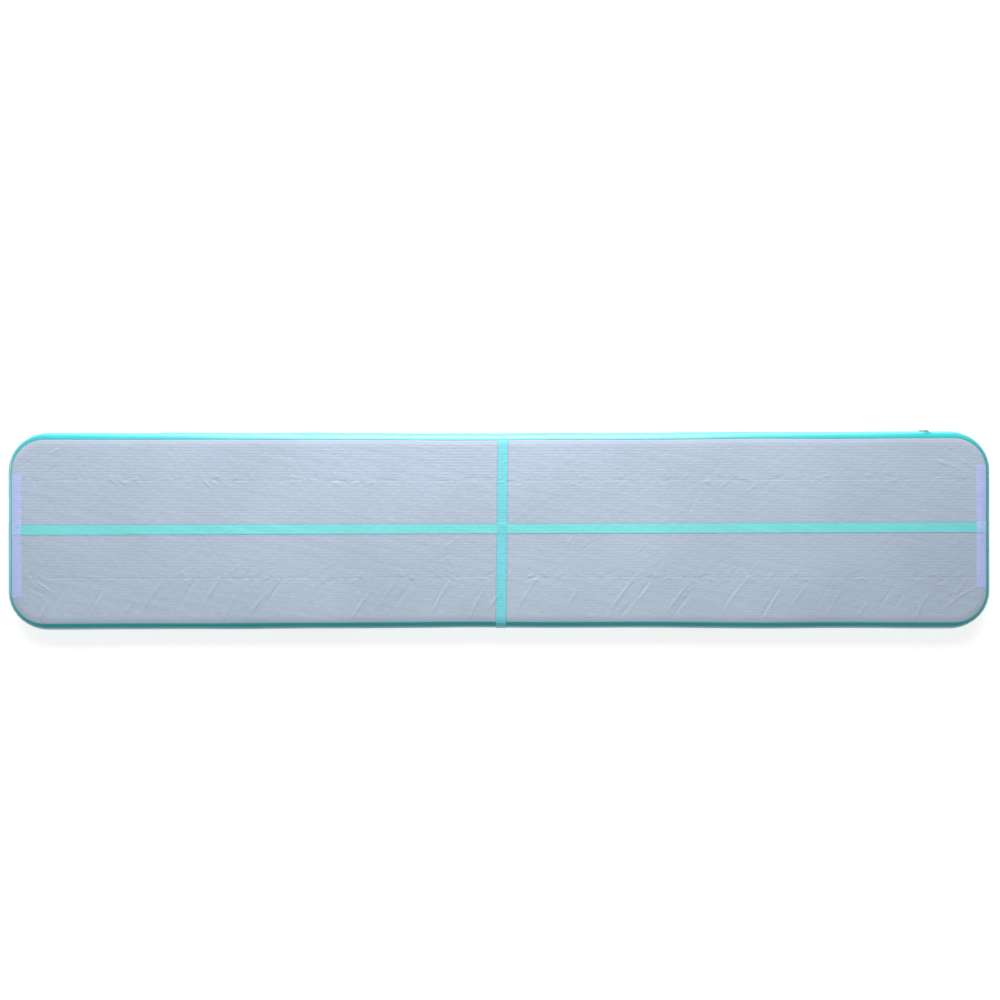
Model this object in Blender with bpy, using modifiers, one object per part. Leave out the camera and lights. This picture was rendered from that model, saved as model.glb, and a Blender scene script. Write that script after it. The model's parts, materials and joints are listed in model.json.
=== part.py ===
"""Inflatable air track mat, 5 m by 1 m by 0.1 m.

A drop-stitch mat lies flat on the floor: X runs along it, Y across it and +Z up, with the origin under
its middle. Two skins are tied together by rows of yarn, a two-layer side wall closes the edge, and seam
tapes cover the joins. An inflation valve sits in the back wall and four webbing handles lie on the long
sides. Every skin is cut from one envelope, a flat outline with a half-round edge.
"""

import math

import bmesh
import bpy
from mathutils import Matrix, Vector

# Driving dimensions, in metres
MAT_LENGTH = 5.0
MAT_WIDTH = 1.01
MAT_HEIGHT = 0.10
CORNER_RADIUS = 0.20
SKIN = 0.0009
TAPE = 0.0008
FILM = 0.0005
WEBBING = 0.0015
GAP = 0.0003
PLY_GAP = 0.0006

# The envelope: half-round edges of this radius round a flat outline
BULGE = MAT_HEIGHT / 2
FLAT_X = MAT_LENGTH / 2 - BULGE
FLAT_Y = MAT_WIDTH / 2 - BULGE
FLAT_CORNER = CORNER_RADIUS - BULGE
CORNER_STEPS = 7
EDGE_RESOLUTION = 7
SEAM_ANGLE = math.radians(30)
TAPE_FROM = math.radians(12.5)
TAPE_TO = math.radians(48)
INNER_PLY_ANGLE = math.radians(20)

# Rows of yarn between the skins, each node standing for three rows 15 mm apart
ROW_PITCH = 0.045
ROW_COUNT = 19
ROW_THICKNESS = 0.0006
ROW_END_GAP = 0.012

# Stripes and hook tapes on the top skin
STRIPE_WIDTH = 0.050
CENTRE_STRIPE_Y = 0.011
CROSS_STRIPE_X = 0.012
CROSS_STRIPE_LOW = -0.020
HOOK_WIDTH = 0.050
HOOK_LENGTH = 0.62
HOOK_TAPES = {"left": (-1, -0.023), "right": (1, 0.020)}

# Carry handles, low on the long sides
HANDLE_X = 0.95
HANDLE_LENGTH = 0.38
HANDLE_PATCH = 0.075
HANDLE_ANGLE = math.radians(-24)
STRAP_HALF_ANGLE = math.radians(14)
PATCH_HALF_ANGLE = math.radians(17)
STRAP_BOW = 0.0015
STRAP_STEP = 0.0285
STRAP_END_INSET = 0.008

# Inflation valve in the back wall; valve sizes run outwards from the wall's flat face
VALVE_X = 2.17
VALVE_FACE_Y = MAT_WIDTH / 2 - 0.005
VALVE_FLAT = 0.0310
VALVE_BLEND = 0.0415
VALVE_COLUMN = 0.0075
HOLE_RADIUS = 0.0203
BARREL_RADIUS = 0.0200
MOUTH_RADIUS = 0.0165
SEAT_RADIUS = 0.0125
FLANGE_RADIUS = 0.0290
FLANGE_LOW = 0.0018
FLANGE_TOP = 0.0046
BARREL_LOW = -0.0180
SEAT_TOP = -0.0155
HUB_TOP = -0.0125
HUB_RADIUS = 0.0060
STEM_RADIUS = 0.0028
STEM_BORE = 0.0031
STEM_TOP = 0.0002
POPPET_RADIUS = 0.0145
POPPET_TOP = -0.0205
POPPET_LOW = -0.0225
BUTTON_RADIUS = 0.0055
BUTTON_TOP = 0.0035
BUTTON_LOW = -0.0022
WASHER_LOW = -0.0035
WASHER_TOP = -0.0025
SPRING_WIRE = 0.0003
SPRING_RADIUS = 0.0043
SPRING_TURNS = 4
NUT_RADIUS = 0.0280
NUT_NECK = 0.0245
NUT_LOW = -0.0120
NUT_RIM = 0.0030
CAP_RADIUS = 0.0215
CAP_PLATE_LOW = 0.0064
CAP_PLATE_TOP = 0.0085
CAP_UNDER = 0.0062
CAP_SEAL_INNER = 0.0166
CAP_SEAL_OUTER = 0.0205
SKIRT_OUTER = 0.0160
SKIRT_INNER = 0.0135
SKIRT_LOW = -0.0060
GRIP_LENGTH = 0.034
GRIP_WIDTH = 0.006
GRIP_TOP = 0.0115
TETHER_RING_INNER = 0.0220
TETHER_RING_TOP = 0.0060
SWIVEL_INNER = 0.0218
SWIVEL_OUTER = 0.0240
TETHER_INNER = 0.0243
TETHER_OUTER = 0.0275
TETHER_LOW = 0.0063
TETHER_HIGH = 0.0078
TETHER_REACH = math.radians(60)
CHAMFER = 0.0008
TURN_STEPS = 24

# Wall joint patches at the two ends
JOINT_PATCH_HALF = 0.040
JOINT_PATCH_ANGLE = math.radians(40)

COLLECTION = "air_track_mat"


def clear_scene():
    for item in list(bpy.data.objects):
        bpy.data.objects.remove(item, do_unlink=True)


def new_collection(name):
    collection = bpy.data.collections.new(name)
    bpy.context.scene.collection.children.link(collection)
    return collection


def material(name, colour, roughness, metallic=0.0):
    made = bpy.data.materials.new(name)
    made.use_nodes = True
    shader = made.node_tree.nodes["Principled BSDF"]
    shader.inputs["Base Color"].default_value = (*colour, 1.0)
    shader.inputs["Roughness"].default_value = roughness
    shader.inputs["Metallic"].default_value = metallic
    return made


def add_object(name, mesh, mat, collection, location=(0, 0, 0), parent=None):
    item = bpy.data.objects.new(name, mesh)
    item.location = location
    item.parent = parent
    if mat is not None:
        mesh.materials.clear()
        mesh.materials.append(mat)
    collection.objects.link(item)
    return item


def smooth(mesh, angle=40):
    mesh.shade_smooth()
    mesh.set_sharp_from_angle(angle=math.radians(angle))


def solidify(item, thickness, outwards):
    shell = item.modifiers.new("wall", "SOLIDIFY")
    shell.thickness = thickness
    shell.offset = 1.0 if outwards else -1.0
    shell.use_even_offset = True


def outline_points(columns):
    """The flat outline seen from above, anticlockwise, with extra points on the back side at columns."""
    points = []
    for sx, sy, start in ((1, -1, 270), (1, 1, 0), (-1, 1, 90), (-1, -1, 180)):
        for step in range(CORNER_STEPS + 1):
            turn = math.radians(start + 90 * step / CORNER_STEPS)
            x = sx * (FLAT_X - FLAT_CORNER) + FLAT_CORNER * math.cos(turn)
            y = sy * (FLAT_Y - FLAT_CORNER) + FLAT_CORNER * math.sin(turn)
            points.append((x, y))
        if (sx, sy) == (1, 1):
            points += [(x, FLAT_Y) for x in sorted(columns, reverse=True)]
    return points


def valve_columns():
    count = round(VALVE_BLEND / VALVE_COLUMN) + 1
    return [VALVE_X + VALVE_COLUMN * step for step in range(-count, count + 1)]


def envelope(radius, columns=()):
    """The mat's closed outer surface at a given edge radius, centred on its mid-height, as a bmesh."""
    points = outline_points(columns)
    curve = bpy.data.curves.new("envelope", "CURVE")
    curve.dimensions = "2D"
    curve.fill_mode = "BOTH"
    curve.bevel_depth = radius
    curve.bevel_resolution = EDGE_RESOLUTION
    spline = curve.splines.new("POLY")
    spline.points.add(len(points) - 1)
    for point, (x, y) in zip(spline.points, points):
        point.co = (x, y, 0, 1)
    spline.use_cyclic_u = True
    holder = bpy.data.objects.new("envelope", curve)
    bpy.context.scene.collection.objects.link(holder)
    seen = holder.evaluated_get(bpy.context.evaluated_depsgraph_get())
    mesh = bpy.data.meshes.new_from_object(seen)
    bm = bmesh.new()
    bm.from_mesh(mesh)
    bmesh.ops.remove_doubles(bm, verts=bm.verts, dist=1e-5)
    bmesh.ops.recalc_face_normals(bm, faces=bm.faces)
    bpy.data.meshes.remove(mesh)
    bpy.data.objects.remove(holder)
    bpy.data.curves.remove(curve)
    return bm


def keep_side(bm, point, normal):
    """Keeps what lies on the side that normal points to, leaving the cut open."""
    everything = bm.verts[:] + bm.edges[:] + bm.faces[:]
    bmesh.ops.bisect_plane(
        bm, geom=everything, dist=1e-6, plane_co=point, plane_no=normal, clear_inner=True
    )


def keep_between(bm, axis, low, high):
    direction = Vector([1.0 if k == axis else 0.0 for k in range(3)])
    keep_side(bm, direction * low, direction)
    keep_side(bm, direction * high, -direction)


def add_loops(bm, axis, places):
    """Cuts extra edge loops across the surface, so that it can bend there."""
    direction = Vector([1.0 if k == axis else 0.0 for k in range(3)])
    for place in places:
        everything = bm.verts[:] + bm.edges[:] + bm.faces[:]
        bmesh.ops.bisect_plane(
            bm, geom=everything, dist=1e-6, plane_co=direction * place, plane_no=direction
        )


def rise_over(bm, axis, low, high, height):
    """Lifts a strip lying on the top skin over another strip that it crosses."""
    step = GAP * 2
    add_loops(bm, axis, (low - step, low, high, high + step))
    for vert in bm.verts:
        if low - 1e-5 <= vert.co[axis] <= high + 1e-5 and vert.co.z > BULGE * 0.9:
            vert.co.z += height


def flatten_at_valve(bm):
    """Pulls the back wall into a flat disc under the valve's flange and blends it out all round."""
    for vert in bm.verts:
        if vert.co.y < FLAT_Y:
            continue
        angle = math.atan2(vert.co.z, vert.co.y - FLAT_Y)
        away = math.hypot(vert.co.x - VALVE_X, BULGE * math.sin(angle))
        share = min(max((VALVE_BLEND - away) / (VALVE_BLEND - VALVE_FLAT), 0.0), 1.0)
        share = share * share * (3 - 2 * share)
        vert.co.y += (VALVE_FACE_Y - FLAT_Y - BULGE * math.cos(angle)) * share


def finish_mesh(bm, name):
    mesh = bpy.data.meshes.new(name)
    bmesh.ops.recalc_face_normals(bm, faces=bm.faces)
    bm.to_mesh(mesh)
    bm.free()
    smooth(mesh)
    return mesh


def outward(mesh):
    """Turns an open surface so that its faces point away from the mat's middle."""
    tilt = sum(poly.normal.dot(poly.center) * poly.area for poly in mesh.polygons)
    if tilt < 0:
        mesh.flip_normals()
    return mesh


def build_skins(parts, mats):
    """Top and bottom drop-stitch skins, rolled over the edge as far as the seam."""
    for name, side, mat in (("top_sheet", 1, "top"), ("bottom_sheet", -1, "bottom")):
        bm = envelope(BULGE)
        keep_side(bm, (0, 0, side * BULGE * math.cos(SEAM_ANGLE)), (0, 0, side))
        mesh = outward(finish_mesh(bm, name))
        item = add_object(name, mesh, mats[mat], parts, (0, 0, BULGE))
        solidify(item, SKIN, outwards=False)


def wall_surface(radius, angle):
    bm = envelope(radius, valve_columns())
    edge = radius * math.cos(angle) - GAP / 2
    keep_between(bm, 2, -edge, edge)
    flatten_at_valve(bm)
    return bm


def build_side_wall(parts, mats, hole):
    """The outer wall in two strips that meet at the middle of each end, and one inner ply behind both."""
    for name, side in (("side_wall_back", 1), ("side_wall_front", -1)):
        bm = wall_surface(BULGE, SEAM_ANGLE)
        keep_side(bm, (0, side * GAP / 2, 0), (0, side, 0))
        mesh = outward(finish_mesh(bm, name))
        item = add_object(name, mesh, mats["wall"], parts, (0, 0, BULGE))
        solidify(item, SKIN, outwards=False)
        if side > 0:
            cut(item, hole)
    bm = wall_surface(BULGE - SKIN - PLY_GAP, INNER_PLY_ANGLE)
    mesh = outward(finish_mesh(bm, "inner_side_wall"))
    item = add_object("inner_side_wall", mesh, mats["inner"], parts, (0, 0, BULGE))
    solidify(item, TAPE, outwards=False)
    cut(item, hole)


def build_seam_tapes(parts, mats):
    """Tapes over the joins between each skin and the side wall."""
    radius = BULGE + GAP
    for name, side in (("top_seam_tape", 1), ("bottom_seam_tape", -1)):
        bm = envelope(radius, valve_columns())
        near, far = radius * math.cos(TAPE_FROM), radius * math.cos(TAPE_TO)
        keep_between(bm, 2, *sorted((side * near, side * far)))
        flatten_at_valve(bm)
        mesh = outward(finish_mesh(bm, name))
        item = add_object(name, mesh, mats["wall"], parts, (0, 0, BULGE))
        solidify(item, TAPE, outwards=True)


def build_joint_patches(parts, mats):
    """Patches over the side wall's two butt joints."""
    radius = BULGE + GAP
    high = radius * math.sin(JOINT_PATCH_ANGLE)
    for name, side in (("wall_joint_patch_right", 1), ("wall_joint_patch_left", -1)):
        bm = envelope(radius)
        keep_between(bm, 1, -JOINT_PATCH_HALF, JOINT_PATCH_HALF)
        keep_between(bm, 2, -high, high)
        keep_side(bm, (0, 0, 0), (side, 0, 0))
        mesh = outward(finish_mesh(bm, name))
        item = add_object(name, mesh, mats["wall"], parts, (0, 0, BULGE))
        solidify(item, TAPE, outwards=True)


def build_yarn_rows(parts, mats):
    """Curtains of yarn that hold the two skins apart, shorter where the corners round off."""
    height = MAT_HEIGHT - 2 * (SKIN + GAP)
    for index in range(ROW_COUNT):
        y = (index - (ROW_COUNT - 1) / 2) * ROW_PITCH
        into_corner = max(abs(y) - (FLAT_Y - FLAT_CORNER), 0.0)
        reach = FLAT_X - FLAT_CORNER + math.sqrt(FLAT_CORNER**2 - into_corner**2) - ROW_END_GAP
        name = f"drop_stitch_row_{index + 1:02d}"
        bm = bmesh.new()
        bmesh.ops.create_cube(bm, size=1.0)
        bmesh.ops.scale(bm, vec=(2 * reach, ROW_THICKNESS, height), verts=bm.verts)
        mesh = bpy.data.meshes.new(name)
        bm.to_mesh(mesh)
        bm.free()
        add_object(name, mesh, mats["yarn"], parts, (0, y, BULGE))


def build_stripes(parts, mats):
    """The long centre stripe, and the cross stripe that laps over it and down the front wall."""
    radius = BULGE + GAP
    half = STRIPE_WIDTH / 2
    top_edge = radius * math.cos(TAPE_FROM) + GAP / 2
    bm = envelope(radius)
    keep_side(bm, (0, 0, top_edge), (0, 0, 1))
    keep_between(bm, 1, CENTRE_STRIPE_Y - half, CENTRE_STRIPE_Y + half)
    mesh = outward(finish_mesh(bm, "centre_stripe"))
    item = add_object("centre_stripe", mesh, mats["stripe"], parts, (0, 0, BULGE))
    solidify(item, FILM, outwards=True)

    bm = envelope(radius)
    keep_between(bm, 0, CROSS_STRIPE_X - half, CROSS_STRIPE_X + half)
    keep_side(bm, (0, 0, CROSS_STRIPE_LOW), (0, 0, 1))
    back_edge = FLAT_Y + radius * math.sin(TAPE_FROM) - 4 * GAP
    keep_side(bm, (0, back_edge, 0), (0, -1, 0))
    over_tape = (radius + TAPE + GAP) / radius
    for vert in bm.verts:
        out = -FLAT_Y - vert.co.y
        if out > radius * math.sin(TAPE_FROM) - 0.004:
            vert.co.y = -FLAT_Y - out * over_tape
            vert.co.z *= over_tape
    rise_over(bm, 1, CENTRE_STRIPE_Y - half - GAP, CENTRE_STRIPE_Y + half + GAP, FILM + GAP)
    mesh = outward(finish_mesh(bm, "cross_stripe"))
    item = add_object("cross_stripe", mesh, mats["stripe"], parts, (0, 0, BULGE))
    solidify(item, FILM, outwards=True)


def build_hook_tapes(parts, mats):
    """Clear hook tapes across the ends of the top skin, for joining mats end to end."""
    radius = BULGE + GAP
    half = STRIPE_WIDTH / 2
    top_edge = radius * math.cos(TAPE_FROM) + GAP / 2
    inner_edge = FLAT_X + radius * math.sin(TAPE_FROM) - HOOK_WIDTH
    for name, (side, y) in HOOK_TAPES.items():
        bm = envelope(radius)
        keep_side(bm, (0, 0, top_edge), (0, 0, 1))
        keep_side(bm, (side * inner_edge, 0, 0), (side, 0, 0))
        keep_between(bm, 1, y - HOOK_LENGTH / 2, y + HOOK_LENGTH / 2)
        rise_over(bm, 1, CENTRE_STRIPE_Y - half - GAP, CENTRE_STRIPE_Y + half + GAP, FILM + GAP)
        mesh = outward(finish_mesh(bm, "hook_tape_" + name))
        item = add_object("hook_tape_" + name, mesh, mats["hook"], parts, (0, 0, BULGE))
        solidify(item, TAPE, outwards=True)


def wall_patch(name, radius, centre_x, half_x, half_angle, bow=0.0):
    """A piece lying on the back wall at the handles' height, with its mesh centred on its middle."""
    bm = envelope(radius)
    keep_between(bm, 0, centre_x - half_x, centre_x + half_x)
    low = radius * math.sin(HANDLE_ANGLE - half_angle)
    high = radius * math.sin(HANDLE_ANGLE + half_angle)
    keep_between(bm, 2, low, high)
    keep_side(bm, (0, 0, 0), (0, 1, 0))
    if bow:
        count = round(2 * half_x / STRAP_STEP)
        add_loops(bm, 0, [centre_x - half_x + 2 * half_x * k / count for k in range(1, count)])
        for vert in bm.verts:
            vert.co.y += bow * math.cos(math.pi * (vert.co.x - centre_x) / (2 * half_x)) ** 2
    mesh = outward(finish_mesh(bm, name))
    centre = Vector((centre_x, MAT_WIDTH / 2, radius * math.sin(HANDLE_ANGLE)))
    mesh.transform(Matrix.Translation(-centre))
    return mesh, centre


def build_handles(parts, mats):
    """Four webbing straps, each sewn to two patches that are welded to the wall."""
    patch_x = (HANDLE_LENGTH - HANDLE_PATCH) / 2
    patch_mesh, patch_at = wall_patch(
        "handle_patch", BULGE + GAP, 0.0, HANDLE_PATCH / 2, PATCH_HALF_ANGLE
    )
    strap_radius = BULGE + 2 * GAP + TAPE
    half_strap = HANDLE_LENGTH / 2 - STRAP_END_INSET
    strap_mesh, strap_at = wall_patch(
        "handle_strap", strap_radius, 0.0, half_strap, STRAP_HALF_ANGLE, STRAP_BOW
    )
    for side_name, side in (("front", -1), ("back", 1)):
        turn = 0.0 if side > 0 else math.pi
        for end_name, end in (("left", -1), ("right", 1)):
            label = f"handle_{side_name}_{end_name}"
            for patch_name, shift in (("inner", -end * patch_x), ("outer", end * patch_x)):
                place = (end * HANDLE_X + shift, side * patch_at.y, BULGE + patch_at.z)
                patch = add_object(f"{label}_patch_{patch_name}", patch_mesh, mats["wall"], parts, place)
                patch.rotation_euler = (0, 0, turn)
                solidify(patch, TAPE, outwards=True)
            place = (end * HANDLE_X, side * strap_at.y, BULGE + strap_at.z)
            strap = add_object(f"{label}_strap", strap_mesh, mats["webbing"], parts, place)
            strap.rotation_euler = (0, 0, turn)
            solidify(strap, WEBBING, outwards=True)


def turned(name, profile, mat, collection, parent, closed=True, steps=TURN_STEPS):
    """A turned piece about its parent's Z axis; the (radius, height) profile runs down the outer side."""
    mesh = bpy.data.meshes.new(name)
    edges = [(k, k + 1) for k in range(len(profile) - 1)]
    if closed:
        edges.append((len(profile) - 1, 0))
    mesh.from_pydata([(r, 0.0, z) for r, z in profile], edges, [])
    item = add_object(name, mesh, mat, collection, parent=parent)
    screw = item.modifiers.new("turn", "SCREW")
    screw.steps = steps
    screw.render_steps = steps
    screw.use_merge_vertices = True
    screw.merge_threshold = 1e-5
    return item


def ring_profile(inner, outer, low, high):
    return [(outer, high), (outer, low), (inner, low), (inner, high)]


def box(name, size, centre, mat, collection, parent, turn=0.0):
    bm = bmesh.new()
    bmesh.ops.create_cube(bm, size=1.0)
    bmesh.ops.scale(bm, vec=size, verts=bm.verts)
    bmesh.ops.translate(bm, vec=centre, verts=bm.verts)
    mesh = bpy.data.meshes.new(name)
    bm.to_mesh(mesh)
    bm.free()
    item = add_object(name, mesh, mat, collection, parent=parent)
    item.rotation_euler = (0, 0, turn)
    return item


def as_cutter(item):
    item.hide_render = True
    item.display_type = "WIRE"
    return item


def boolean(item, tool, operation):
    step = item.modifiers.new(operation.lower(), "BOOLEAN")
    step.operation = operation
    step.solver = "EXACT"
    step.object = as_cutter(tool)


def cut(item, tool):
    boolean(item, tool, "DIFFERENCE")


def build_valve_axis(collection):
    """The valve's frame: its Z axis points out of the back wall."""
    axis = bpy.data.objects.new("valve_axis", None)
    axis.location = (VALVE_X, VALVE_FACE_Y, BULGE)
    axis.rotation_euler = (math.radians(-90), 0, 0)
    collection.objects.link(axis)
    return axis


def build_wall_hole(cutters, axis):
    profile = [(0, 0.02), (HOLE_RADIUS, 0.02), (HOLE_RADIUS, -0.02), (0, -0.02)]
    return as_cutter(turned("valve_hole", profile, None, cutters, axis, closed=False))


def build_valve_body(parts, cutters, mats, axis):
    """Flange, barrel and seat, with a hub on three spokes that guides the stem."""
    profile = [
        (FLANGE_RADIUS - CHAMFER, FLANGE_TOP),
        (FLANGE_RADIUS, FLANGE_TOP - CHAMFER),
        (FLANGE_RADIUS, FLANGE_LOW),
        (BARREL_RADIUS, FLANGE_LOW),
        (BARREL_RADIUS, BARREL_LOW),
        (SEAT_RADIUS, BARREL_LOW),
        (SEAT_RADIUS, SEAT_TOP),
        (MOUTH_RADIUS, SEAT_TOP),
        (MOUTH_RADIUS, FLANGE_TOP - CHAMFER),
        (MOUTH_RADIUS + CHAMFER, FLANGE_TOP),
    ]
    body = turned("valve_body", profile, mats["valve"], parts, axis)
    bed = 0.0005
    hub = ring_profile(STEM_BORE, HUB_RADIUS, SEAT_TOP - bed, HUB_TOP)
    boolean(body, turned("valve_hub_guide", hub, None, cutters, axis), "UNION")
    overlap = 0.001
    length = MOUTH_RADIUS - HUB_RADIUS + 2 * overlap
    height = HUB_TOP - SEAT_TOP
    for index in range(3):
        centre = ((MOUTH_RADIUS + HUB_RADIUS) / 2, 0, SEAT_TOP - bed + height / 2)
        size = (length, 0.0024, height)
        turn = math.radians(120 * index + 60)
        spoke = box(f"valve_spoke_guide_{index}", size, centre, None, cutters, axis, turn)
        boolean(body, spoke, "UNION")
    gasket = ring_profile(HOLE_RADIUS + GAP, FLANGE_RADIUS - CHAMFER, GAP, FLANGE_LOW - GAP)
    turned("valve_gasket", gasket, mats["seal"], parts, axis)


def build_valve_nut(parts, cutters, mats, axis):
    """Backing nut inside the mat, with three pairs of spanner slots across its lower rim."""
    top = -(SKIN + PLY_GAP + TAPE + 2 * GAP)
    bore = BARREL_RADIUS + GAP
    profile = [
        (NUT_RADIUS, top),
        (NUT_RADIUS, top - NUT_RIM),
        (NUT_NECK, top - NUT_RIM - CHAMFER),
        (NUT_NECK, NUT_LOW),
        (bore, NUT_LOW),
        (bore, top),
    ]
    nut = turned("valve_nut", profile, mats["valve"], parts, axis)
    size = (2.2 * NUT_RADIUS, 0.005, 0.004)
    for index in range(3):
        turn = math.radians(60 * index)
        slot = box(f"valve_slot_{index}", size, (0, 0, NUT_LOW + 0.0005), None, cutters, axis, turn)
        cut(nut, slot)


def build_valve_plunger(parts, cutters, mats, axis):
    """The sprung stem with its poppet, seal, washer and push-and-turn button."""
    stem = [
        (0, STEM_TOP),
        (STEM_RADIUS, STEM_TOP),
        (STEM_RADIUS, POPPET_TOP),
        (POPPET_RADIUS, POPPET_TOP),
        (POPPET_RADIUS, POPPET_LOW),
        (0, POPPET_LOW),
    ]
    turned("valve_stem", stem, mats["valve"], parts, axis, closed=False)
    seal = ring_profile(STEM_BORE, POPPET_RADIUS - GAP, POPPET_TOP + GAP, BARREL_LOW - GAP)
    turned("valve_seal", seal, mats["seal"], parts, axis)
    washer = ring_profile(STEM_BORE, BUTTON_RADIUS, WASHER_LOW, WASHER_TOP)
    turned("valve_spring_washer", washer, mats["steel"], parts, axis)
    button = [
        (0, BUTTON_TOP),
        (BUTTON_RADIUS - CHAMFER, BUTTON_TOP),
        (BUTTON_RADIUS, BUTTON_TOP - CHAMFER),
        (BUTTON_RADIUS, BUTTON_LOW),
        (STEM_BORE, BUTTON_LOW),
        (STEM_BORE, STEM_TOP + GAP),
        (0, STEM_TOP + GAP),
    ]
    head = turned("valve_button", button, mats["button"], parts, axis, closed=False)
    size = (4 * BUTTON_RADIUS, 0.0016, 0.002)
    cut(head, box("valve_button_slot", size, (0, 0, BUTTON_TOP), None, cutters, axis))


def build_valve_spring(parts, mats, axis):
    per_turn = 12
    low, high = HUB_TOP + GAP + SPRING_WIRE, WASHER_LOW - GAP - SPRING_WIRE
    count = SPRING_TURNS * per_turn
    curve = bpy.data.curves.new("valve_spring", "CURVE")
    curve.dimensions = "3D"
    curve.bevel_depth = SPRING_WIRE
    curve.bevel_resolution = 2
    curve.use_fill_caps = True
    spline = curve.splines.new("POLY")
    spline.points.add(count)
    for index, point in enumerate(spline.points):
        turn = math.tau * index / per_turn
        height = low + (high - low) * index / count
        point.co = (SPRING_RADIUS * math.cos(turn), SPRING_RADIUS * math.sin(turn), height, 1)
    curve.materials.append(mats["steel"])
    item = bpy.data.objects.new("valve_spring", curve)
    item.parent = axis
    parts.objects.link(item)


def build_valve_cap(parts, cutters, mats, axis):
    """Cap with a skirt that plugs the mouth and a bar to turn it by, and its flat seal."""
    profile = [
        (0, CAP_PLATE_TOP),
        (CAP_RADIUS - CHAMFER, CAP_PLATE_TOP),
        (CAP_RADIUS, CAP_PLATE_TOP - CHAMFER),
        (CAP_RADIUS, CAP_PLATE_LOW),
        (SKIRT_OUTER, CAP_PLATE_LOW),
        (SKIRT_OUTER, SKIRT_LOW),
        (SKIRT_INNER, SKIRT_LOW),
        (SKIRT_INNER, CAP_UNDER),
        (0, CAP_UNDER),
    ]
    cap = turned("valve_cap", profile, mats["valve"], parts, axis, closed=False)
    height = GRIP_TOP - CAP_PLATE_TOP + 0.001
    size = (GRIP_LENGTH, GRIP_WIDTH, height)
    bar = box("valve_cap_bar", size, (0, 0, GRIP_TOP - height / 2), None, cutters, axis)
    edge = bar.modifiers.new("edge", "BEVEL")
    edge.width = 1.5 * CHAMFER
    edge.segments = 2
    boolean(cap, bar, "UNION")
    seal = ring_profile(CAP_SEAL_INNER, CAP_SEAL_OUTER, FLANGE_TOP + GAP, CAP_PLATE_LOW - GAP)
    turned("valve_cap_seal", seal, mats["seal"], parts, axis)


def build_tether(parts, mats, axis):
    """A ring loose on the valve's rim, a ring round the cap, and the short strap that joins them."""
    lower = ring_profile(TETHER_RING_INNER, TETHER_OUTER, FLANGE_TOP + GAP, TETHER_RING_TOP)
    turned("tether_ring", lower, mats["tether"], parts, axis)
    upper = ring_profile(SWIVEL_INNER, SWIVEL_OUTER, CAP_PLATE_LOW, TETHER_HIGH)
    turned("cap_swivel_ring", upper, mats["tether"], parts, axis)
    steps = 12
    turns = [math.radians(90) + TETHER_REACH * (2 * k / steps - 1) for k in range(steps + 1)]
    rim = [(TETHER_OUTER * math.cos(a), TETHER_OUTER * math.sin(a)) for a in turns]
    rim += [(TETHER_INNER * math.cos(a), TETHER_INNER * math.sin(a)) for a in reversed(turns)]
    curve = bpy.data.curves.new("tether_strap", "CURVE")
    curve.dimensions = "2D"
    curve.fill_mode = "BOTH"
    curve.extrude = (TETHER_HIGH - TETHER_LOW) / 2
    spline = curve.splines.new("POLY")
    spline.points.add(len(rim) - 1)
    for point, (x, y) in zip(spline.points, rim):
        point.co = (x, y, 0, 1)
    spline.use_cyclic_u = True
    curve.materials.append(mats["tether"])
    item = bpy.data.objects.new("tether_strap", curve)
    item.parent = axis
    item.location = (0, 0, (TETHER_LOW + TETHER_HIGH) / 2)
    parts.objects.link(item)


def build_materials():
    return {
        "top": material("skin_top", (0.47, 0.56, 0.67), 0.55),
        "bottom": material("skin_bottom", (0.42, 0.50, 0.60), 0.6),
        "wall": material("wall_teal", (0.05, 0.52, 0.55), 0.45),
        "inner": material("wall_inner", (0.75, 0.75, 0.73), 0.7),
        "stripe": material("stripe_aqua", (0.22, 0.75, 0.78), 0.45),
        "hook": material("hook_tape", (0.55, 0.60, 0.85), 0.35),
        "yarn": material("yarn", (0.85, 0.85, 0.83), 0.9),
        "webbing": material("webbing", (0.02, 0.02, 0.025), 0.85),
        "valve": material("valve_plastic", (0.66, 0.68, 0.69), 0.4),
        "button": material("button_plastic", (0.80, 0.80, 0.78), 0.4),
        "seal": material("seal_rubber", (0.03, 0.03, 0.03), 0.8),
        "tether": material("tether_rubber", (0.06, 0.07, 0.08), 0.6),
        "steel": material("spring_steel", (0.60, 0.60, 0.60), 0.3, 1.0),
    }


def build_all():
    clear_scene()
    parts = new_collection(COLLECTION)
    cutters = new_collection("cutters")
    mats = build_materials()
    axis = build_valve_axis(parts)
    hole = build_wall_hole(cutters, axis)
    build_skins(parts, mats)
    build_side_wall(parts, mats, hole)
    build_seam_tapes(parts, mats)
    build_joint_patches(parts, mats)
    build_yarn_rows(parts, mats)
    build_stripes(parts, mats)
    build_hook_tapes(parts, mats)
    build_handles(parts, mats)
    build_valve_body(parts, cutters, mats, axis)
    build_valve_nut(parts, cutters, mats, axis)
    build_valve_plunger(parts, cutters, mats, axis)
    build_valve_spring(parts, mats, axis)
    build_valve_cap(parts, cutters, mats, axis)
    build_tether(parts, mats, axis)


build_all()
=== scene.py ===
"""The looks of the inflatable air track mat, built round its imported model.

Skins, tapes and stripes are grids laid on one surface: a flat rounded rectangle, ribbed by the drop-stitch
rows, with a half-round edge. Positions come from the frame. X runs along the mat, Y across it, Z up.
"""

import json
import math

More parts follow.
